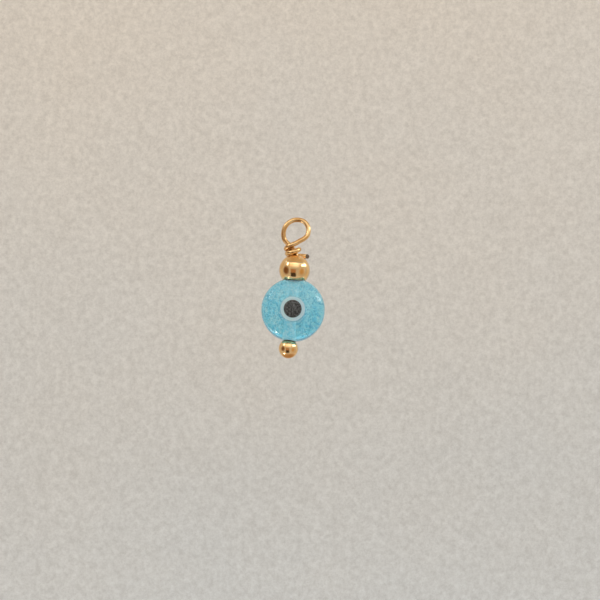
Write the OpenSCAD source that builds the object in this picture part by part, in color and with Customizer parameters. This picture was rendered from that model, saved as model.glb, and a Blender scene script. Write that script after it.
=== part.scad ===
// Evil eye charm: a glass eye bead and a gold bead strung on a ball-ended head pin,
// whose wire is bent into a hanging loop and wrapped closed.
// Hangs with +Z up. The eye faces -Y. The origin is on the pin's axis,
// level with the centre of the loop. Sizes are in millimetres.

/* [Head pin] */
// Wire diameter
wire_d = 0.6; // [0.4:0.05:0.65]
// Diameter of the ball that ends the pin
pin_ball_d = 2.45; // [1.8:0.05:3]

/* [Gold bead] */
// Outside diameter of the gold bead
bead_d = 3.9; // [3.5:0.1:4.5]
// Wall of the hollow gold bead
bead_wall = 0.35; // [0.2:0.05:0.8]
// Diameter of its two holes
bead_hole_d = 1; // [0.8:0.05:1.4]

/* [Glass bead] */
// Diameter of the glass disc
glass_d = 8; // [7:0.1:10]
// Thickness at the middle of the disc
glass_t = 4.2; // [3.4:0.1:5]
// Radius of the rounded rim
rim_r = 1.4; // [0.8:0.1:1.6]
// How far each face falls from its middle to the rim's rounding
face_drop = 0.25; // [0.05:0.05:0.4]
// Bore diameter
bore_d = 1.45; // [1:0.05:1.8]
// How far the disc's centre sits beside its bore
bore_offset = 0.2; // [-0.3:0.05:0.3]

/* [Eye] */
// Diameter of the pale ring
iris_d = 3.2; // [2.4:0.05:4]
// Diameter of the dark pupil
pupil_d = 2.3; // [1.4:0.05:2.4]
// Depth of the pale dot in the glass
iris_depth = 0.65; // [0.4:0.05:1]
// Depth of the dark dot in the pale one
pupil_depth = 0.4; // [0.2:0.05:0.6]
// How far the eye sits beside the disc's centre
eye_x = -0.05; // [-0.4:0.05:0.4]
// How far the eye sits above the disc's centre
eye_z = -0.1; // [-0.4:0.05:0.4]

/* [Fit] */
// Running gap between neighbours on the pin
gap = 0.05; // [0.02:0.01:0.1]

/* [Hidden] */

// Stack on the pin, from the loop down
loop_rise = 2.95;
bead_z = -loop_rise - bead_d / 2;
glass_sink = 0.85;
glass_z = bead_z - bead_d / 2 + glass_sink - glass_d / 2;
ball_sink = 0.3;
ball_z = glass_z - glass_d / 2 + ball_sink - pin_ball_d / 2;

// Flat on the ball, just wider than the wire that ends on it
seat_r = wire_d / 2 + 0.025;
seat_z = ball_z + sqrt(pow(pin_ball_d / 2, 2) - pow(seat_r, 2));

// Wire centreline above the shank, measured from the top of the gold bead
stem_points = [
    [0, 0, -1.15],
    [0, 0, -0.85],
    [0.05, 0, -0.5],
    [0.05, 0.05, -0.15],
    [-0.05, 0.1, 0.15],
    [-0.25, 0.1, 0.5],
    [-0.5, 0.15, 0.85],
    [-0.8, 0.2, 1.2]
];
loop_points = [
    [-1.25, 0.2, 1.5],
    [-1.6, 0.15, 1.9],
    [-1.75, 0.1, 2.45],
    [-1.75, 0.05, 3.05],
    [-1.55, 0, 3.6],
    [-1.2, 0, 4.05],
    [-0.65, 0, 4.4],
    [0, 0, 4.5],
    [0.65, -0.05, 4.35],
    [1.1, -0.1, 3.95],
    [1.35, -0.2, 3.35],
    [1.3, -0.3, 2.65],
    [0.95, -0.4, 2.15],
    [0.4, -0.5, 1.75],
    [-0.1, -0.55, 1.4],
    [-0.6, -0.55, 1.15]
];
wrap_points = [
    [-1, -0.4, 0.95],
    [-1.25, -0.05, 0.75],
    [-1.25, 0.4, 0.7],
    [-0.95, 0.7, 0.7],
    [-0.45, 0.8, 0.65],
    [0.1, 0.6, 0.7],
    [0.35, 0.15, 0.75],
    [0.25, -0.3, 0.6],
    [-0.15, -0.6, 0.35],
    [-0.55, -0.6, 0.2],
    [-0.95, -0.3, 0.15],
    [-1.1, 0.2, 0.1],
    [-0.95, 0.75, 0.05],
    [-0.55, 1.15, 0]
];
tail_points = [
    [0, 1.3, 0.05],
    [0.5, 1.3, 0.1],
    [1, 1.25, 0.1],
    [1.5, 1.2, 0.1]
];
wire_points = concat(stem_points, loop_points, wrap_points, tail_points);
shank_top = bead_z + bead_d / 2 + wire_points[0][2];
wire_sides = 16;
wire_steps = 3;

// Smooth curve through the points of a list
function ghost_first(p) = 2 * p[0] - p[1];
function ghost_last(p) = 2 * p[len(p) - 1] - p[len(p) - 2];
function padded(p) = concat([ghost_first(p)], p, [ghost_last(p)]);
function blend(a, b, c, d, t) =
    (2 * b + (c - a) * t + (2 * a - 5 * b + 4 * c - d) * t * t
     + (3 * b - a - 3 * c + d) * t * t * t) / 2;
function smooth(p, n) =
    let (q = padded(p))
    concat([for (i = [1:len(p) - 1], k = [0:n - 1])
                blend(q[i - 1], q[i], q[i + 1], q[i + 2], k / n)],
           [p[len(p) - 1]]);

// Rings across a curve, each turned as little as possible from the last
function unit(v) = v / norm(v);
function across(v, t) = unit(v - (v * t) * t);
function tangent(p, i) =
    unit(p[min(i + 1, len(p) - 1)] - p[max(i - 1, 0)]);
function sides_of(p) =
    [for (i = 0, u = across([1, 0, 0], tangent(p, 0)); i < len(p);
          i = i + 1, u = across(u, tangent(p, i))) u];
function ring(c, u, v, r, n) =
    [for (k = [0:n - 1]) c + r * (cos(360 * k / n) * u + sin(360 * k / n) * v)];
function tube_points(p, r, n) =
    let (u = sides_of(p))
    [for (i = [0:len(p) - 1], q = ring(p[i], u[i], cross(tangent(p, i), u[i]), r, n)) q];
function tube_walls(m, n) =
    [for (i = [0:m - 2], k = [0:n - 1])
        [i * n + k, (i + 1) * n + k, (i + 1) * n + (k + 1) % n, i * n + (k + 1) % n]];

// Half outline of the disc, from the middle of one face round the rim to the other
rim_centre = glass_d / 2 - rim_r;
dome_r = (rim_centre * rim_centre + face_drop * face_drop) / (2 * face_drop);
face_tilt = asin(rim_centre / (dome_r - rim_r));
face_edge = dome_r * sin(face_tilt);
dome_steps = 6;
rim_steps = 14;
function face_height(x) = glass_t / 2 - dome_r + sqrt(dome_r * dome_r - x * x);
rim_height = face_height(face_edge) - rim_r * cos(face_tilt);
half_face = [for (i = [0:dome_steps])
    [face_edge * i / dome_steps, face_height(face_edge * i / dome_steps)]];
half_rim = [for (i = [1:rim_steps])
    let (a = (90 - face_tilt) * (1 - i / rim_steps))
    [rim_centre + rim_r * cos(a), rim_height + rim_r * sin(a)]];
upper_half = concat(half_face, half_rim);
disc_outline = concat(upper_half, [for (i = [len(upper_half) - 1:-1:0])
                                       [upper_half[i][0], -upper_half[i][1]]]);

// The whole disc, before anything is cut out of it
module disc() {
    translate([bore_offset, 0, glass_z])
        rotate([90, 0, 0])
            rotate_extrude($fn = 96)
                polygon(disc_outline);
}

// A round dot sunk into a face; side is 1 for the front and -1 for the back
module dot(d, depth, side) {
    translate([bore_offset + eye_x, -side * (glass_t / 2 - depth), glass_z + eye_z])
        rotate([side * 90, 0, 0])
            cylinder(h = depth + 1, d = d, $fn = 72);
}

module headpin_wire() {
    points = smooth(wire_points, wire_steps);
    rings = len(points);
    first = [for (k = [0:wire_sides - 1]) k];
    last = [for (k = [wire_sides - 1:-1:0]) (rings - 1) * wire_sides + k];
    color("goldenrod")
        union() {
            translate([0, 0, seat_z])
                cylinder(h = shank_top - seat_z, d = wire_d, $fn = 48);
            translate([0, 0, bead_z + bead_d / 2])
                polyhedron(points = tube_points(points, wire_d / 2, wire_sides),
                           faces = concat([first], tube_walls(rings, wire_sides), [last]));
        }
}

module pin_ball() {
    color("gold")
        difference() {
            translate([0, 0, ball_z])
                sphere(d = pin_ball_d, $fn = 64);
            translate([-pin_ball_d, -pin_ball_d, seat_z])
                cube([2 * pin_ball_d, 2 * pin_ball_d, pin_ball_d]);
        }
}

module gold_bead() {
    color("gold")
        translate([0, 0, bead_z])
            difference() {
                sphere(d = bead_d, $fn = 96);
                sphere(d = bead_d - 2 * bead_wall, $fn = 96);
                cylinder(h = 2 * bead_d, d = bead_hole_d, center = true, $fn = 48);
            }
}

module glass_body() {
    color("skyblue", 0.8)
        difference() {
            disc();
            translate([0, 0, glass_z])
                cylinder(h = 2 * glass_d, d = bore_d, center = true, $fn = 48);
            translate([0, 0, bead_z])
                sphere(d = bead_d + 2 * gap, $fn = 96);
            translate([0, 0, ball_z])
                sphere(d = pin_ball_d + 2 * gap, $fn = 64);
            dot(iris_d, iris_depth, 1);
            dot(iris_d, iris_depth, -1);
        }
}

module iris(side) {
    color("aliceblue")
        intersection() {
            disc();
            difference() {
                dot(iris_d, iris_depth, side);
                dot(pupil_d, pupil_depth, side);
            }
        }
}

module pupil(side) {
    color("black")
        intersection() {
            disc();
            dot(pupil_d, pupil_depth, side);
        }
}

headpin_wire();
pin_ball();
gold_bead();
glass_body();
iris(1);  // iris_front
pupil(1);  // pupil_front
iris(-1);  // iris_back
pupil(-1);  // pupil_back
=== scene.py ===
"""Evil eye charm: a glass eye bead and a gold bead on a ball-ended pin with a wrapped loop.

Metres throughout, in the row frame: +Z up along the pin, the eye faces -Y.
"""

import math
import random

import bmesh
import bpy
from mathutils import Matrix, Vector, noise


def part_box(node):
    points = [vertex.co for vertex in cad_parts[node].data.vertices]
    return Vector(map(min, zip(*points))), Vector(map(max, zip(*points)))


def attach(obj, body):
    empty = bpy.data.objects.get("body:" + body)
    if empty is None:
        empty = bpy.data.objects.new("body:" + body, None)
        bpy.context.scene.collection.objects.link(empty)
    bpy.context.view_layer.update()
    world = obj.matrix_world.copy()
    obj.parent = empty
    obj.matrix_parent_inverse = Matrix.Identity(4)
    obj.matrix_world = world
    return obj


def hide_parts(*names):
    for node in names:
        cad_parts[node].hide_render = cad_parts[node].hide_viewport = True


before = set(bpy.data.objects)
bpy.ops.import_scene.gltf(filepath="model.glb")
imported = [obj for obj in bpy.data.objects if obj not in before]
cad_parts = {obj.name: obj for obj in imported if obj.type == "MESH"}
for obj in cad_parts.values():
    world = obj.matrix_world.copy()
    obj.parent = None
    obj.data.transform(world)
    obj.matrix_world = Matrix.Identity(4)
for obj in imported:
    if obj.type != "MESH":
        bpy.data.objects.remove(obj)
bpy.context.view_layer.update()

MM = 0.001

# ---------------------------------------------------------------- sizes, from the CAD


def box_centre(node):
    low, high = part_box(node)
    return (low + high) / 2


def box_size(node):
    low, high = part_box(node)
    return high - low


running_gap = 0.05 * MM

bead_radius = box_size("gold_bead").x / 2
bead_centre = box_centre("gold_bead")
bead_top = bead_centre.z + bead_radius
bead_wall = 0.35 * MM
bead_hole_radius = 0.5 * MM
bead_lip = 0.14 * MM

ball_radius = box_size("pin_ball").x / 2
ball_centre = Vector((0, 0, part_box("pin_ball")[0].z + ball_radius))
ball_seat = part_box("pin_ball")[1].z
ball_collar = 0.16 * MM

# The neighbours' hollows take away the disc's top and foot, so its box doesn't give this
glass_height = -10 * MM
glass_radius = box_size("glass_body").x / 2
glass_half = box_size("glass_body").y / 2
glass_centre = Vector((box_centre("glass_body").x, 0, glass_height))
rim_radius = 1.4 * MM
rim_centre = glass_radius - rim_radius
face_drop = 0.25 * MM
face_dome = (rim_centre ** 2 + face_drop ** 2) / (2 * face_drop)
bore_radius = 0.725 * MM

bubble_count = 260
bubble_smallest, bubble_largest = 0.03 * MM, 0.12 * MM
bubble_stretch = 1.4
bubble_depth = 1.3 * MM

iris_radius = box_size("iris_front").x / 2
pupil_radius = box_size("pupil_front").x / 2
eye_centre = box_centre("iris_front")
iris_depth = 0.65 * MM
pupil_depth = 0.4 * MM
iris_proud, pupil_proud = 0.012 * MM, 0.03 * MM
dot_lip = 0.08 * MM
dot_sink = 0.02 * MM

wire_radius = 0.3 * MM
wire_step = 0.05 * MM
wire_sides = 32
pinch_length, slant_length = 0.35 * MM, 0.4 * MM
plier_width, plier_depth = 0.28 * MM, 0.03 * MM
# How far along the wire the jaws left a shallow flat, and the way each flat faces
plier_marks = [(11.6 * MM, 0.4), (14.6 * MM, 2.6), (17.5 * MM, 4.6)]

charm_middle = Vector((0, 0, -8 * MM))
# The camera looks up at the eye by this much; the lights are placed as it sees them
camera_tilt = Matrix.Rotation(math.radians(8), 3, "X")
camera_lean = math.radians(4.5)
camera_target = Vector((0.98 * MM, 0, -8.65 * MM))
camera_distance, camera_width = 300 * MM, 75.6 * MM

# Wire centreline above the straight shank, in millimetres from the gold bead's top
STEM = [
    (0, 0, -1.15), (0, 0, -0.85), (0.05, 0, -0.5), (0.05, 0.05, -0.15), (-0.05, 0.1, 0.15),
    (-0.25, 0.1, 0.5), (-0.5, 0.15, 0.85), (-0.8, 0.2, 1.2),
]
LOOP = [
    (-1.25, 0.2, 1.5), (-1.6, 0.15, 1.9), (-1.75, 0.1, 2.45), (-1.75, 0.05, 3.05),
    (-1.55, 0, 3.6), (-1.2, 0, 4.05), (-0.65, 0, 4.4), (0, 0, 4.5), (0.65, -0.05, 4.35),
    (1.1, -0.1, 3.95), (1.35, -0.2, 3.35), (1.3, -0.3, 2.65), (0.95, -0.4, 2.15),
    (0.4, -0.5, 1.75), (-0.1, -0.55, 1.4), (-0.6, -0.55, 1.15),
]
WRAP = [
    (-1, -0.4, 0.95), (-1.25, -0.05, 0.75), (-1.25, 0.4, 0.7), (-0.95, 0.7, 0.7),
    (-0.45, 0.8, 0.65), (0.1, 0.6, 0.7), (0.35, 0.15, 0.75), (0.25, -0.3, 0.6),
    (-0.15, -0.6, 0.35), (-0.55, -0.6, 0.2), (-0.95, -0.3, 0.15), (-1.1, 0.2, 0.1),
    (-0.95, 0.75, 0.05), (-0.55, 1.15, 0),
]
TAIL = [
    (0, 1.3, 0.05), (0.5, 1.3, 0.1), (1, 1.25, 0.1), (1.5, 1.2, 0.1),
]

# ---------------------------------------------------------------- mesh helpers


def add_object(name, vertices, faces, place=(0, 0, 0)):
    """A new mesh object with smooth faces whose normals point outwards."""
    mesh = bpy.data.meshes.new(name)
    mesh.from_pydata(vertices, [], faces)
    mesh.validate()
    build = bmesh.new()
    build.from_mesh(mesh)
    bmesh.ops.recalc_face_normals(build, faces=build.faces)
    build.to_mesh(mesh)
    build.free()
    mesh.shade_smooth()
    thing = bpy.data.objects.new(name, mesh)
    thing.location = place
    bpy.context.scene.collection.objects.link(thing)
    return thing


def revolve(profile, steps, closed=False):
    """Vertices and faces of (radius, height) points turned about Z."""
    vertices, rings = [], []
    for radius, height in profile:
        start = len(vertices)
        if radius < 1e-9:
            vertices.append((0, 0, height))
            rings.append([start])
            continue
        for k in range(steps):
            angle = 2 * math.pi * k / steps
            vertices.append((radius * math.cos(angle), radius * math.sin(angle), height))
        rings.append(list(range(start, start + steps)))
    pairs = list(zip(rings, rings[1:]))
    if closed:
        pairs.append((rings[-1], rings[0]))
    faces = []
    for lower, upper in pairs:
        for k in range(steps):
            corners = [lower[k % len(lower)], lower[(k + 1) % len(lower)],
                       upper[(k + 1) % len(upper)], upper[k % len(upper)]]
            faces.append(list(dict.fromkeys(corners)))
    return vertices, [face for face in faces if len(face) > 2]


def arc(centre, radius, start, end, steps):
    """Points on an arc in (radius, height), angles in degrees from the radius axis."""
    points = []
    for i in range(steps + 1):
        angle = math.radians(start + (end - start) * i / steps)
        points.append((centre[0] + radius * math.cos(angle), centre[1] + radius * math.sin(angle)))
    return points


def move_vertices(thing, shift):
    """Moves every vertex by shift(position)."""
    for vertex in thing.data.vertices:
        vertex.co += shift(vertex.co.copy())
    thing.data.update()


def mount_piece(piece, body, slot, *nodes):
    """The piece rides on its body and stands for its CAD nodes, which it hides; slot is not used.
    """
    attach(piece, body)
    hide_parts(*nodes)


# ---------------------------------------------------------------- material helpers


class Shader:
    """A small helper to build one node material."""

    def __init__(self, name):
        self.material = bpy.data.materials.new(name)
        self.material.use_nodes = True
        self.nodes = self.material.node_tree.nodes
        self.links = self.material.node_tree.links
        self.nodes.clear()
        self.output = self.nodes.new("ShaderNodeOutputMaterial")
        coordinates = self.nodes.new("ShaderNodeTexCoord")
        to_mm = self.nodes.new("ShaderNodeVectorMath")
        to_mm.operation = "SCALE"
        to_mm.inputs["Scale"].default_value = 1 / MM
        self.links.new(coordinates.outputs["Object"], to_mm.inputs[0])
        self.position = to_mm.outputs[0]

    def link(self, start, end):
        self.links.new(start, end)

    def noise(self, per_mm, detail=3.0, rough=0.5, distortion=0.0):
        node = self.nodes.new("ShaderNodeTexNoise")
        node.inputs["Scale"].default_value = per_mm
        node.inputs["Detail"].default_value = detail
        node.inputs["Roughness"].default_value = rough
        node.inputs["Distortion"].default_value = distortion
        self.link(self.position, node.inputs["Vector"])
        return node.outputs["Fac"]

    def axes(self):
        """X, Y and Z of the position, in millimetres."""
        node = self.nodes.new("ShaderNodeSeparateXYZ")
        self.link(self.position, node.inputs[0])
        return node.outputs["X"], node.outputs["Y"], node.outputs["Z"]

    def spread(self, value, low, high, to_low, to_high):
        node = self.nodes.new("ShaderNodeMapRange")
        node.inputs["From Min"].default_value = low
        node.inputs["From Max"].default_value = high
        node.inputs["To Min"].default_value = to_low
        node.inputs["To Max"].default_value = to_high
        self.link(value, node.inputs["Value"])
        return node.outputs["Result"]

    def ramp(self, value, stops):
        node = self.nodes.new("ShaderNodeValToRGB")
        elements = node.color_ramp.elements
        while len(elements) < len(stops):
            elements.new(1.0)
        for element, (place, colour) in zip(elements, stops):
            element.position = place
            element.color = (*colour, 1)
        self.link(value, node.inputs["Fac"])
        return node.outputs["Color"]

    def mix(self, amount, first, second, kind="MIX"):
        node = self.nodes.new("ShaderNodeMix")
        node.data_type = "RGBA"
        node.blend_type = kind
        for socket, value in ((node.inputs[0], amount), (node.inputs[6], first),
                              (node.inputs[7], second)):
            if isinstance(value, bpy.types.NodeSocket):
                self.link(value, socket)
            elif isinstance(value, tuple):
                socket.default_value = (*value, 1)
            else:
                socket.default_value = value
        return node.outputs[2]

    def math(self, operation, first, second=0.0):
        node = self.nodes.new("ShaderNodeMath")
        node.operation = operation
        for socket, value in zip(node.inputs, (first, second)):
            if isinstance(value, bpy.types.NodeSocket):
                self.link(value, socket)
            else:
                socket.default_value = value
        return node.outputs[0]

    def length(self, first, second):
        """How far the point (first, second) is from zero."""
        squares = (self.math("MULTIPLY", first, first), self.math("MULTIPLY", second, second))
        return self.math("SQRT", self.math("ADD", *squares))

    def bump(self, height, depth_mm, under=None):
        node = self.nodes.new("ShaderNodeBump")
        node.inputs["Strength"].default_value = 1.0
        node.inputs["Distance"].default_value = depth_mm * MM
        self.link(height, node.inputs["Height"])
        if under is not None:
            self.link(under, node.inputs["Normal"])
        return node.outputs["Normal"]

    def principled(self, **settings):
        node = self.nodes.new("ShaderNodeBsdfPrincipled")
        for name, value in settings.items():
            socket = node.inputs[name.replace("_", " ")]
            if isinstance(value, bpy.types.NodeSocket):
                self.link(value, socket)
            elif isinstance(value, tuple):
                socket.default_value = (*value, 1)
            else:
                socket.default_value = value
        return node

    def light_passes(self, surface, tint):
        """Shadow rays go straight through in the tint, so that light reaches what is inside."""
        clear = self.nodes.new("ShaderNodeBsdfTransparent")
        clear.inputs["Color"].default_value = (*tint, 1)
        path = self.nodes.new("ShaderNodeLightPath")
        either = self.nodes.new("ShaderNodeMixShader")
        self.link(path.outputs["Is Shadow Ray"], either.inputs[0])
        self.link(surface.outputs[0], either.inputs[1])
        self.link(clear.outputs[0], either.inputs[2])
        return either

    def finish(self, surface):
        self.link(surface.outputs[0], self.output.inputs["Surface"])
        return self.material


# ---------------------------------------------------------------- materials


def gold_material(name, light, deep, polish, dent_depth):
    """Polished gold plate: slight tone drift, fine wear, faint handling marks."""
    shader = Shader(name)
    drift = shader.noise(0.9, detail=2)
    wear = shader.noise(9.0, detail=6, rough=0.6)
    tone = shader.ramp(drift, [(0.35, deep), (0.65, light)])
    tone = shader.mix(shader.spread(wear, 0.55, 0.8, 0.0, 0.35), tone, deep)
    rough = shader.spread(wear, 0.3, 0.75, polish, polish + 0.12)
    dents = shader.bump(shader.noise(1.4, detail=1), dent_depth)
    marks = shader.bump(shader.noise(24.0, detail=3), 0.0006, dents)
    surface = shader.principled(Base_Color=tone, Metallic=1.0, Roughness=rough, Normal=marks)
    return shader.finish(surface)


def cut_material():
    """The snipped end of the wire: dark, torn and dull."""
    shader = Shader("cut_end")
    tear = shader.noise(16.0, detail=4, rough=0.7)
    tone = shader.ramp(tear, [(0.3, (0.09, 0.06, 0.04)), (0.7, (0.2, 0.14, 0.09))])
    ridges = shader.bump(tear, 0.02)
    surface = shader.principled(Base_Color=tone, Metallic=0.6, Roughness=0.6, Normal=ridges)
    return shader.finish(surface)


def aqua_glass_material():
    """Clear aqua lampwork glass, a little cloudy, deeper towards its foot, softly uneven."""
    shader = Shader("aqua_glass")
    cloud = shader.noise(1.1, detail=5, rough=0.65)
    curdle = shader.noise(2.6, detail=5, rough=0.75, distortion=0.8)
    fleck = shader.noise(4.2, detail=3, rough=0.7)
    height = shader.axes()[2]
    deeper = shader.spread(height, -4.0, 0.5, 0.45, 0.0)
    tone = shader.ramp(cloud, [(0.32, (0.13, 0.59, 0.8)), (0.68, (0.31, 0.83, 1.0))])
    tone = shader.mix(deeper, tone, (0.05, 0.56, 0.8))
    tone = shader.mix(shader.spread(curdle, 0.47, 0.58, 0.0, 0.8), tone, (0.62, 0.95, 1.0))
    tone = shader.mix(shader.spread(fleck, 0.56, 0.63, 0.0, 0.7), tone, (0.08, 0.42, 0.58))
    rough = shader.spread(cloud, 0.3, 0.7, 0.03, 0.08)
    waves = shader.bump(shader.noise(0.6, detail=1), 0.005)
    surface = shader.principled(
        Base_Color=tone, Transmission_Weight=0.72, IOR=1.5, Roughness=rough, Normal=waves)
    passing = shader.light_passes(surface, (0.85, 0.98, 1.0))
    return shader.finish(passing)


def shaded_seat_material():
    """Darker glass in the two hollows where the metal beads sit, painted dark as painted shade,
    mottled and a little rough.
    """
    shader = Shader("shaded_seat_glass")
    shade_mottle = shader.noise(4.0, detail=4, rough=0.7)
    # Painted shade: these dark tones stand for the shadow that the beads throw on the glass.
    tone = shader.ramp(shade_mottle, [(0.3, (0.06, 0.075, 0.1)), (0.7, (0.24, 0.26, 0.31))])
    skin = shader.bump(shader.noise(9.0, detail=3), 0.01)
    surface = shader.principled(Base_Color=tone, Roughness=0.35, IOR=1.5, Normal=skin)
    return shader.finish(surface)


def bore_material():
    """The bore's lining: frosted and chalky where the glass was wound on its rod."""
    shader = Shader("frosted_bore")
    chalk = shader.noise(5.0, detail=5, rough=0.7)
    tone = shader.ramp(chalk, [(0.3, (0.92, 0.84, 0.83)), (0.7, (1.0, 0.97, 0.96))])
    grit = shader.bump(shader.noise(14.0, detail=4), 0.02)
    surface = shader.principled(Base_Color=tone, Roughness=0.85, Normal=grit)
    return shader.finish(surface)


def pale_glass_material():
    """Milky white glass of the ring, with the faint line left by a second dot."""
    shader = Shader("pale_glass")
    sideways, _, upwards = shader.axes()
    wobble = shader.math("MULTIPLY", shader.noise(1.8, detail=2), 0.08)
    ring = shader.math("ADD", shader.length(sideways, upwards), wobble)
    tone = shader.ramp(shader.spread(ring, 1.1, 1.65, 0.0, 1.0), [
        (0.0, (0.33, 0.48, 0.54)), (0.35, (0.47, 0.6, 0.64)), (0.5, (0.37, 0.54, 0.61)),
        (0.65, (0.5, 0.64, 0.68)), (1.0, (0.24, 0.46, 0.56)),
    ])
    cloud = shader.noise(3.5, detail=4)
    tone = shader.mix(shader.spread(cloud, 0.4, 0.75, 0.0, 0.3), tone, (0.38, 0.6, 0.7))
    rough = shader.spread(cloud, 0.3, 0.7, 0.12, 0.25)
    skin = shader.bump(shader.noise(2.5, detail=3), 0.02)
    surface = shader.principled(
        Base_Color=tone, Roughness=rough, Subsurface_Weight=0.35, Subsurface_Scale=0.4 * MM,
        Normal=skin)
    return shader.finish(surface)


def black_glass_material():
    """Near-black glass with grey flecks under a soft gloss."""
    shader = Shader("black_glass")
    cloud = shader.noise(2.2, detail=5, rough=0.65)
    fleck = shader.noise(4.5, detail=4, rough=0.75)
    tone = shader.ramp(cloud, [(0.35, (0.012, 0.013, 0.014)), (0.7, (0.06, 0.065, 0.07))])
    tone = shader.mix(shader.spread(fleck, 0.52, 0.68, 0.0, 0.9), tone, (0.2, 0.21, 0.215))
    rough = shader.spread(fleck, 0.3, 0.75, 0.18, 0.45)
    skin = shader.bump(shader.noise(4.0, detail=4), 0.03)
    surface = shader.principled(Base_Color=tone, Roughness=rough, IOR=1.5, Normal=skin)
    return shader.finish(surface)


def stage_material():
    """Pale honed stone: fine grain, faint clouds, and painted warm light towards the upper left.
    """
    shader = Shader("pale_stone")
    sideways, _, upwards = shader.axes()
    # Painted light: the tone leans warmer towards the upper left, as if warm light fell from
    # there.
    lean = shader.math("SUBTRACT", upwards, shader.math("MULTIPLY", sideways, 0.2))
    cloud = shader.noise(0.012, detail=5, rough=0.55)
    grain = shader.noise(0.55, detail=5, rough=0.85)
    cloud_and_warm_light = shader.math("ADD", lean, shader.spread(cloud, 0.3, 0.7, -25.0, 25.0))
    tone = shader.ramp(shader.spread(cloud_and_warm_light, -50.0, 150.0, 0.0, 1.0),
                       [(0.0, (0.78, 0.79, 0.79)), (1.0, (0.86, 0.79, 0.71))])
    speck = shader.spread(grain, 0.35, 0.65, 0.0, 1.0)
    tone = shader.mix(speck, tone, (0.78, 0.77, 0.76), "MULTIPLY")
    surface = shader.principled(Base_Color=tone, Roughness=0.7, Specular_IOR_Level=0.2)
    return shader.finish(surface)


# ---------------------------------------------------------------- wire


def smooth_curve(points, steps):
    """Catmull-Rom curve through the points."""
    ends = [2 * points[0] - points[1]] + points + [2 * points[-1] - points[-2]]
    curve = []
    for i in range(1, len(points)):
        a, b, c, d = ends[i - 1:i + 3]
        for k in range(steps):
            t = k / steps
            curve.append((2 * b + (c - a) * t + (2 * a - 5 * b + 4 * c - d) * t * t
                          + (3 * b - a - 3 * c + d) * t * t * t) / 2)
    curve.append(points[-1])
    return curve


def even_points(curve, spacing):
    """The same curve with points the same distance apart."""
    points, carried = [curve[0]], 0.0
    for start, end in zip(curve, curve[1:]):
        length = (end - start).length
        place = spacing - carried
        while place < length:
            points.append(start.lerp(end, place / length))
            place += spacing
        carried = length - (place - spacing)
    return points


def wire_line():
    """The whole centreline, from inside the ball to the snipped tail."""
    bent = [Vector(p) * MM + Vector((0, 0, bead_top)) for p in STEM + LOOP + WRAP + TAIL]
    curve = smooth_curve(bent, 16)
    foot = Vector((0, 0, ball_seat - 2 * wire_step))
    straight = [foot.lerp(curve[0], i / 40) for i in range(40)]
    return even_points(straight + curve, wire_step)


def wire_reach(centre, place, angle):
    """The wire's radius at one spot: drawn a little uneven, flattened where pliers held it."""
    reach = wire_radius
    for mark, facing in plier_marks:
        near = math.exp(-((place - mark) / plier_width) ** 2)
        reach -= plier_depth * near * max(0.0, math.cos(angle - facing)) ** 6
    return reach + 0.003 * MM * noise.noise(centre / (0.8 * MM) + Vector((angle, 0, 0)))


def wire_ring(centre, tangent, across, place, left):
    """Points round the wire at one place, pinched and slanted where little of it is left."""
    beside = tangent.cross(across)
    pinch = min(1.0, left / pinch_length)
    ring = []
    for k in range(wire_sides):
        angle = 2 * math.pi * k / wire_sides
        reach = wire_reach(centre, place, angle)
        thin = reach * math.sin(angle) * (0.9 + 0.1 * pinch)
        spot = centre + across * (reach * math.cos(angle)) + beside * thin
        if left < slant_length:
            slant = (1 - left / slant_length) * (spot.y - centre.y)
            spot += tangent * slant * 0.75
        ring.append(spot)
    return ring


def wire_surface(line):
    """Vertices and faces of the wire along its centreline, closed at both ends."""
    last = len(line) - 1
    across, vertices, faces = Vector((1, 0, 0)), [], []
    for i, centre in enumerate(line):
        tangent = (line[min(i + 1, last)] - line[max(i - 1, 0)]).normalized()
        across = (across - tangent * across.dot(tangent)).normalized()
        vertices += wire_ring(centre, tangent, across, i * wire_step, (last - i) * wire_step)
    for i in range(last):
        here, there = i * wire_sides, (i + 1) * wire_sides
        for k in range(wire_sides):
            after = (k + 1) % wire_sides
            faces.append([here + k, here + after, there + after, there + k])
    faces.append(list(range(wire_sides)))
    faces.append(list(range(last * wire_sides, (last + 1) * wire_sides)))
    return vertices, faces


def wire_piece():
    """Drawn wire, gripped by pliers on the loop and pinched by the cutter at its tail."""
    line = wire_line()
    wire = add_object("wrapped_wire", *wire_surface(line))
    wire.data.set_sharp_from_angle(angle=math.radians(50))
    wire.data.materials.append(gold_material(
        "gold_wire", (0.93, 0.67, 0.35), (0.72, 0.44, 0.19), 0.2, 0.003))
    wire.data.materials.append(cut_material())
    for face in wire.data.polygons:
        is_end = len(face.vertices) == wire_sides
        if is_end and (face.center - line[-1]).length < wire_radius:
            face.material_index = 1
    mount_piece(wire, "pin", "gold_wire", "headpin_wire")


# ---------------------------------------------------------------- gold pieces


def ball_piece():
    """The ball melted on the pin's end, with a small collar where the wire leaves it."""
    turn = math.degrees(math.asin((wire_radius + ball_collar) / ball_radius))
    profile = arc((0, 0), ball_radius, -90, 90 - turn, 64)
    edge = profile[-1]
    top = ball_seat - ball_centre.z + 0.05 * MM
    for i in range(1, 9):
        sweep = math.pi / 2 * i / 8
        radius = edge[0] + (wire_radius - edge[0]) * math.sin(sweep)
        height = edge[1] + (top - edge[1]) * (1 - math.cos(sweep))
        profile.append((radius, height))
    profile.append((0, top))
    profile[0] = (0, -ball_radius)
    vertices, faces = revolve(profile, 96)
    ball = add_object("pin_end_ball", vertices, faces, ball_centre)
    move_vertices(ball, lambda p: p.normalized() * noise.noise(p / (1.1 * MM)) * 0.012 * MM)
    ball.data.materials.append(gold_material(
        "gold_ball", (0.97, 0.73, 0.42), (0.88, 0.56, 0.26), 0.1, 0.01))
    mount_piece(ball, "pin", "gold_ball", "pin_ball")


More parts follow.
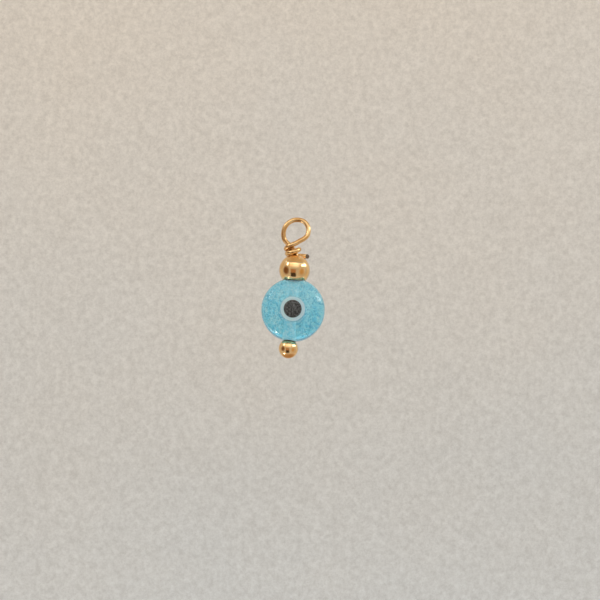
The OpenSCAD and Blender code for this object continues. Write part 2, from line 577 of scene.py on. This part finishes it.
def bead_piece():
    """Hollow round bead with rolled lips at its two holes."""
    inner = bead_radius - bead_wall
    lip_at = bead_hole_radius + bead_lip
    lip_height = math.sqrt((bead_radius - bead_lip) ** 2 - lip_at ** 2)
    lean = math.degrees(math.atan2(lip_height, lip_at))
    outside = arc((0, 0), bead_radius, -lean, lean, 72)
    top_lip = arc((lip_at, lip_height), bead_lip, lean, 180, 10)
    inner_turn = math.degrees(math.acos(bead_hole_radius / inner))
    inside = arc((0, 0), inner, inner_turn, -inner_turn, 48)
    low_lip = arc((lip_at, -lip_height), bead_lip, 180, 360 - lean, 10)
    profile = outside + top_lip[1:] + inside + low_lip[:-1]
    vertices, faces = revolve(profile, 128, closed=True)
    bead = add_object("gold_round_bead", vertices, faces, bead_centre)
    move_vertices(bead, lambda p: p.normalized() * noise.noise(p / (1.6 * MM)) * 0.01 * MM)
    bead.data.set_sharp_from_angle(angle=math.radians(50))
    bead.data.materials.append(gold_material(
        "gold_bead", (0.97, 0.72, 0.4), (0.87, 0.56, 0.26), 0.08, 0.012))
    mount_piece(bead, "spacer", "gold_bead", "gold_bead")


# ---------------------------------------------------------------- glass bead


def face_height(across):
    """Height of the domed face above the disc's middle plane, at a distance from its centre."""
    return glass_half - face_dome + math.sqrt(face_dome ** 2 - across ** 2)


def disc_profile():
    """Half outline of the disc, from the middle of one face round the rim to the other."""
    tilt = math.asin(rim_centre / (face_dome - rim_radius))
    edge = face_dome * math.sin(tilt)
    rim_height = face_height(edge) - rim_radius * math.cos(tilt)
    upper = [(edge * i / 24, face_height(edge * i / 24)) for i in range(25)]
    upper += arc((rim_centre, rim_height), rim_radius, 90 - math.degrees(tilt), 0, 28)[1:]
    return upper + [(r, -h) for r, h in reversed(upper)]


def cut_away(piece, tools):
    """Takes each tool's shape out of the piece, then removes the tool."""
    for tool in tools:
        step = piece.modifiers.new("cut", "BOOLEAN")
        step.operation = "DIFFERENCE"
        step.solver = "EXACT"
        step.object = tool
    graph = bpy.context.evaluated_depsgraph_get()
    result = bpy.data.meshes.new_from_object(piece.evaluated_get(graph))
    piece.modifiers.clear()
    piece.data = result
    for tool in tools:
        bpy.data.objects.remove(tool)


def eye_socket(side):
    """A round hollow for the eye, a hair smaller than the dot, so that glass meets glass."""
    overlap = 0.02 * MM
    radius = iris_radius - overlap
    depth = iris_depth - overlap
    outline = [(0, 0), (radius, 0), (radius, depth + MM), (0, depth + MM)]
    place = (eye_centre.x, -side * (glass_half - depth), eye_centre.z)
    tool = add_object("eye_tool", *revolve(outline, 160), place)
    tool.data.transform(Matrix.Rotation(math.radians(90 * side), 4, "X"))
    return tool


def bore_tool():
    """A rod longer than the disc is high."""
    tall = glass_radius * 1.3
    outline = [(0, -tall), (bore_radius, -tall), (bore_radius, tall), (0, tall)]
    return add_object("bore_tool", *revolve(outline, 96), (0, 0, glass_centre.z))


def neighbour_tool(name, radius, centre):
    """A ball as big as the metal neighbour and the running gap round it."""
    outline = arc((0, 0), radius + running_gap, -90, 90, 64)
    return add_object(name, *revolve(outline, 160), (0, 0, centre.z))


def bubble_spot(rng):
    """A random place in the glass, its reach from the middle and the bubble's size."""
    reach = (glass_radius - 0.5 * MM) * math.sqrt(rng.random())
    turn = rng.random() * 2 * math.pi
    depth = rng.uniform(-bubble_depth, bubble_depth)
    spot = Vector((reach * math.cos(turn), depth, reach * math.sin(turn)))
    return spot, reach, rng.uniform(bubble_smallest, bubble_largest)


def has_room(spot, reach):
    """True where a bubble is clear of the bore, the eyes and the rounded rim."""
    beside_bore = abs(spot.x + glass_centre.x) < bore_radius + 0.2 * MM
    in_eye = math.hypot(spot.x, spot.z) < iris_radius + 0.3 * MM and abs(spot.y) > MM
    in_rim = reach > 3.3 * MM and abs(spot.y) > 0.8 * MM
    return not (beside_bore or in_eye or in_rim)


def add_seeds(piece):
    """Small round bubbles caught in the glass: closed hollows that face inwards."""
    rng = random.Random(7)
    build = bmesh.new()
    build.from_mesh(piece.data)
    placed = 0
    while placed < bubble_count:
        spot, reach, size = bubble_spot(rng)
        if not has_room(spot, reach):
            continue
        stretched = Matrix.Diagonal((size, size, size * bubble_stretch, 1))
        shape = Matrix.Translation(spot) @ stretched
        bubble = bmesh.ops.create_icosphere(build, subdivisions=2, radius=1, matrix=shape)
        inward = {face for corner in bubble["verts"] for face in corner.link_faces}
        bmesh.ops.reverse_faces(build, faces=list(inward))
        placed += 1
    for face in build.faces:
        face.smooth = True
    build.to_mesh(piece.data)
    build.free()


def disc_blank():
    """The disc before anything is cut from it, a little uneven as melted glass is."""
    glass = add_object("glass_disc", *revolve(disc_profile(), 288))
    glass.data.transform(Matrix.Rotation(math.radians(90), 4, "X"))
    move_vertices(glass, lambda p: p.normalized() * noise.noise(p / (1.9 * MM)) * 0.03 * MM)
    glass.location = glass_centre
    return glass


def paint_glass(glass):
    """Aqua all over, frosted in the bore and painted dark with shade in the two hollows."""
    lining = bore_radius + 0.01 * MM
    glass.data.materials.clear()
    glass.data.materials.append(aqua_glass_material())
    glass.data.materials.append(bore_material())
    glass.data.materials.append(shaded_seat_material())
    for face in glass.data.polygons:
        centre = face.center + glass_centre
        at_bead = (centre - bead_centre).length < bead_radius + 2 * running_gap
        at_ball = (centre - ball_centre).length < ball_radius + 2 * running_gap
        if math.hypot(centre.x, centre.y) < lining:
            face.material_index = 1
        # Faces in the hollows by the bead and the ball take the painted shade.
        elif at_bead or at_ball:
            face.material_index = 2


def glass_piece():
    """The disc with its bore, the hollows for its neighbours and the two eye sockets."""
    glass = disc_blank()
    tools = [
        bore_tool(), neighbour_tool("top_tool", bead_radius, bead_centre),
        neighbour_tool("low_tool", ball_radius, ball_centre), eye_socket(1), eye_socket(-1),
    ]
    bpy.context.view_layer.update()
    cut_away(glass, tools)
    paint_glass(glass)
    add_seeds(glass)
    glass.data.set_sharp_from_angle(angle=math.radians(35))
    mount_piece(glass, "eye_bead", "aqua_glass", "glass_body")


def dot_profile(radius, depth, proud):
    """Half outline of a fused dot: domed like the face, with a soft edge, a bit proud."""
    surface = [(radius * i / 20, face_height(radius * i / 20) + proud) for i in range(20)]
    edge_height = face_height(radius) - dot_sink
    edge = []
    for i in range(7):
        turn = math.radians(90 * i / 6)
        edge.append((radius - dot_lip + dot_lip * math.sin(turn),
                     edge_height + (proud + dot_sink) * math.cos(turn)))
    inner = [point for point in surface if point[0] < radius - dot_lip - 0.01 * MM]
    base = glass_half - depth
    return inner + edge + [(radius, base + 0.05 * MM), (radius - 0.05 * MM, base), (0, base)]


def eye_dot(name, radius, depth, proud, side, material, slot, node):
    """One fused dot on the front (side 1) or the back (side -1)."""
    place = (eye_centre.x, 0, eye_centre.z)
    dot = add_object(name, *revolve(dot_profile(radius, depth, proud), 160), place)
    dot.data.transform(Matrix.Rotation(math.radians(90 * side), 4, "X"))
    dot.data.set_sharp_from_angle(angle=math.radians(50))
    dot.data.materials.append(material)
    mount_piece(dot, "eye_bead", slot, node)


def eye_pieces():
    """The pale dot and the dark one on it, front and back."""
    pale = pale_glass_material()
    dark = black_glass_material()
    for side, label in ((1, "front"), (-1, "back")):
        eye_dot("pale_ring_" + label, iris_radius, iris_depth, iris_proud, side,
                pale, "pale_glass", "iris_" + label)
        eye_dot("dark_pupil_" + label, pupil_radius, pupil_depth, pupil_proud, side,
                dark, "black_glass", "pupil_" + label)


# ---------------------------------------------------------------- stage, lights, camera


def stage_piece():
    """A wide pale bowl: floor, cove and wall in one seamless surface, open at the top."""
    floor, wall, cove, rim = -200 * MM, 420 * MM, 200 * MM, 330 * MM
    profile = [(0, floor)] + [((wall - cove) * i / 4, floor) for i in range(1, 5)]
    profile += arc((wall - cove, floor + cove), cove, -90, 0, 24)[1:]
    profile.append((wall, rim))
    vertices, faces = revolve(profile, 128)
    bowl = add_object("stage_bowl", vertices, faces)
    bowl.data.materials.append(stage_material())


def aim(thing, direction, distance):
    """Puts a thing that far from the charm, in a direction as the camera sees it, facing it."""
    away = camera_tilt @ Vector(direction).normalized() * distance
    thing.location = charm_middle + away
    thing.rotation_euler = away.to_track_quat("Z", "Y").to_euler()


def area_light(name, direction, distance, width, height, watts, colour, in_gloss=True):
    """A soft light that faces the charm; in_gloss says whether gloss reflects it."""
    lamp = bpy.data.lights.new(name, "AREA")
    lamp.shape = "RECTANGLE"
    lamp.size, lamp.size_y = width, height
    lamp.energy = watts
    lamp.color = colour
    thing = bpy.data.objects.new(name, lamp)
    bpy.context.scene.collection.objects.link(thing)
    aim(thing, direction, distance)
    thing.visible_camera = False
    thing.visible_glossy = in_gloss


def only_in_gloss(thing, material):
    """Seen only in the reflections of glossy surfaces."""
    thing.data.materials.append(material)
    thing.visible_camera = False
    thing.visible_diffuse = False
    thing.visible_transmission = False
    thing.visible_shadow = False


def card_material(name, colour, width, height, core):
    """Matt card that fades outside its core to the stage's own tone."""
    shader = Shader(name)
    sideways, upwards, _ = shader.axes()
    across = shader.math("MULTIPLY", sideways, 2 * MM / width)
    along = shader.math("MULTIPLY", upwards, 2 * MM / height)
    edge = shader.spread(shader.length(across, along), core, core + 0.5, 0.0, 1.0)
    tone = shader.mix(edge, colour, (0.76, 0.73, 0.68))
    return shader.finish(shader.principled(Base_Color=tone, Roughness=0.9))


def card(name, direction, distance, width, height, colour, corners=4, core=1.5):
    """A card seen only in the gloss: 4 corners, or many for an oval."""
    points = []
    for k in range(corners):
        angle = 2 * math.pi * (k + 0.5) / corners
        reach = math.cos(math.pi / corners)
        points.append((width / 2 * math.cos(angle) / reach,
                       height / 2 * math.sin(angle) / reach, 0))
    flat = add_object(name, points, [list(range(corners))])
    aim(flat, direction, distance)
    only_in_gloss(flat, card_material(name, colour, width, height, core))


def edge_flag():
    """A dim ring behind the charm: it gives the polished metal slightly darker edges."""
    inner, outer, back = 170 * MM, 330 * MM, 150 * MM
    vertices, faces = revolve([(inner, back), (outer, back * 0.4)], 64)
    ring = add_object("edge_flag", vertices, faces, charm_middle)
    ring.data.transform(Matrix.Rotation(math.radians(-90), 4, "X"))
    shader = Shader("edge_flag")
    only_in_gloss(ring, shader.finish(
        shader.principled(Base_Color=(0.76, 0.66, 0.52), Roughness=0.9)))


def lights():
    """A pale room, soft windows, and cards for the room's darker and warmer parts."""
    world = bpy.data.worlds.new("soft_room")
    world.use_nodes = True
    sky = world.node_tree.nodes["Background"]
    sky.inputs["Color"].default_value = (1.0, 0.995, 0.98, 1)
    sky.inputs["Strength"].default_value = 1.1
    bpy.context.scene.world = world
    warm, white, cool = (1, 0.93, 0.78), (1, 0.98, 0.95), (0.94, 0.98, 1)
    area_light("window_right", (0.834, -0.08, 0.546), 0.26, 0.2, 0.05, 0.15, white)
    area_light("window_left", (-0.73, -0.31, 0.6), 0.26, 0.035, 0.075, 0.055, white)
    area_light("window_low", (-0.553, -0.19, -0.812), 0.17, 0.03, 0.02, 0.04, white)
    area_light("overhead", (-0.05, -0.72, 0.69), 0.3, 0.34, 0.15, 0.08, warm)
    area_light("ceiling", (-0.05, -0.78, 0.6), 0.34, 0.6, 0.26, 0.1, warm)
    area_light("fill_low", (0.1, -0.75, -0.65), 0.17, 0.18, 0.18, 0.07, cool, in_gloss=False)
    card("hand", (-0.16, -0.98, -0.103), 0.17, 0.12, 0.085, (0.5, 0.29, 0.17))
    card("phone", (-0.116, -0.816, -0.564), 0.17, 0.12, 0.11, (0.05, 0.035, 0.025))
    card("left_side", (-0.92, -0.384, -0.072), 0.28, 0.34, 0.34, (0.22, 0.1, 0.04), 32, 0.5)
    card("right_side", (0.843, -0.528, -0.092), 0.28, 0.32, 0.32, (0.7, 0.46, 0.22), 32, 0.35)
    # The brown card below is painted shade: the metal's undersides reflect it as shadowed ground.
    card("below", (0.1, 0.25, -1), 0.15, 0.4, 0.4, (0.42, 0.28, 0.17), 32, 0.45)
    card("above", (0, 0.1, 1), 0.3, 0.6, 0.46, (0.8, 0.6, 0.38), 32, 0.5)


def camera():
    """From the front and a little below, turned so that the charm leans to the right."""
    lens = bpy.data.cameras.new("camera")
    sensor = 36
    lens.sensor_width = sensor
    lens.lens = sensor * camera_distance / camera_width
    lens.clip_start = 0.001
    lens.clip_end = 5
    view = bpy.data.objects.new("camera", lens)
    right = camera_tilt @ Vector((math.cos(camera_lean), 0, math.sin(camera_lean)))
    up = camera_tilt @ Vector((-math.sin(camera_lean), 0, math.cos(camera_lean)))
    back = camera_tilt @ Vector((0, -1, 0))
    turned = Matrix((right, up, back)).transposed().to_4x4()
    place = camera_target + back * camera_distance
    view.matrix_world = Matrix.Translation(place) @ turned
    bpy.context.scene.collection.objects.link(view)
    bpy.context.scene.camera = view


def render_look():
    """Plain colours, and enough bounces for the glass."""
    scene = bpy.context.scene
    scene.view_settings.view_transform = "Standard"
    scene.cycles.use_denoising = True
    scene.cycles.max_bounces = 16
    scene.cycles.transmission_bounces = 12
    scene.cycles.transparent_max_bounces = 16


wire_piece()
ball_piece()
bead_piece()
glass_piece()
eye_pieces()
stage_piece()
edge_flag()
lights()
camera()
render_look()
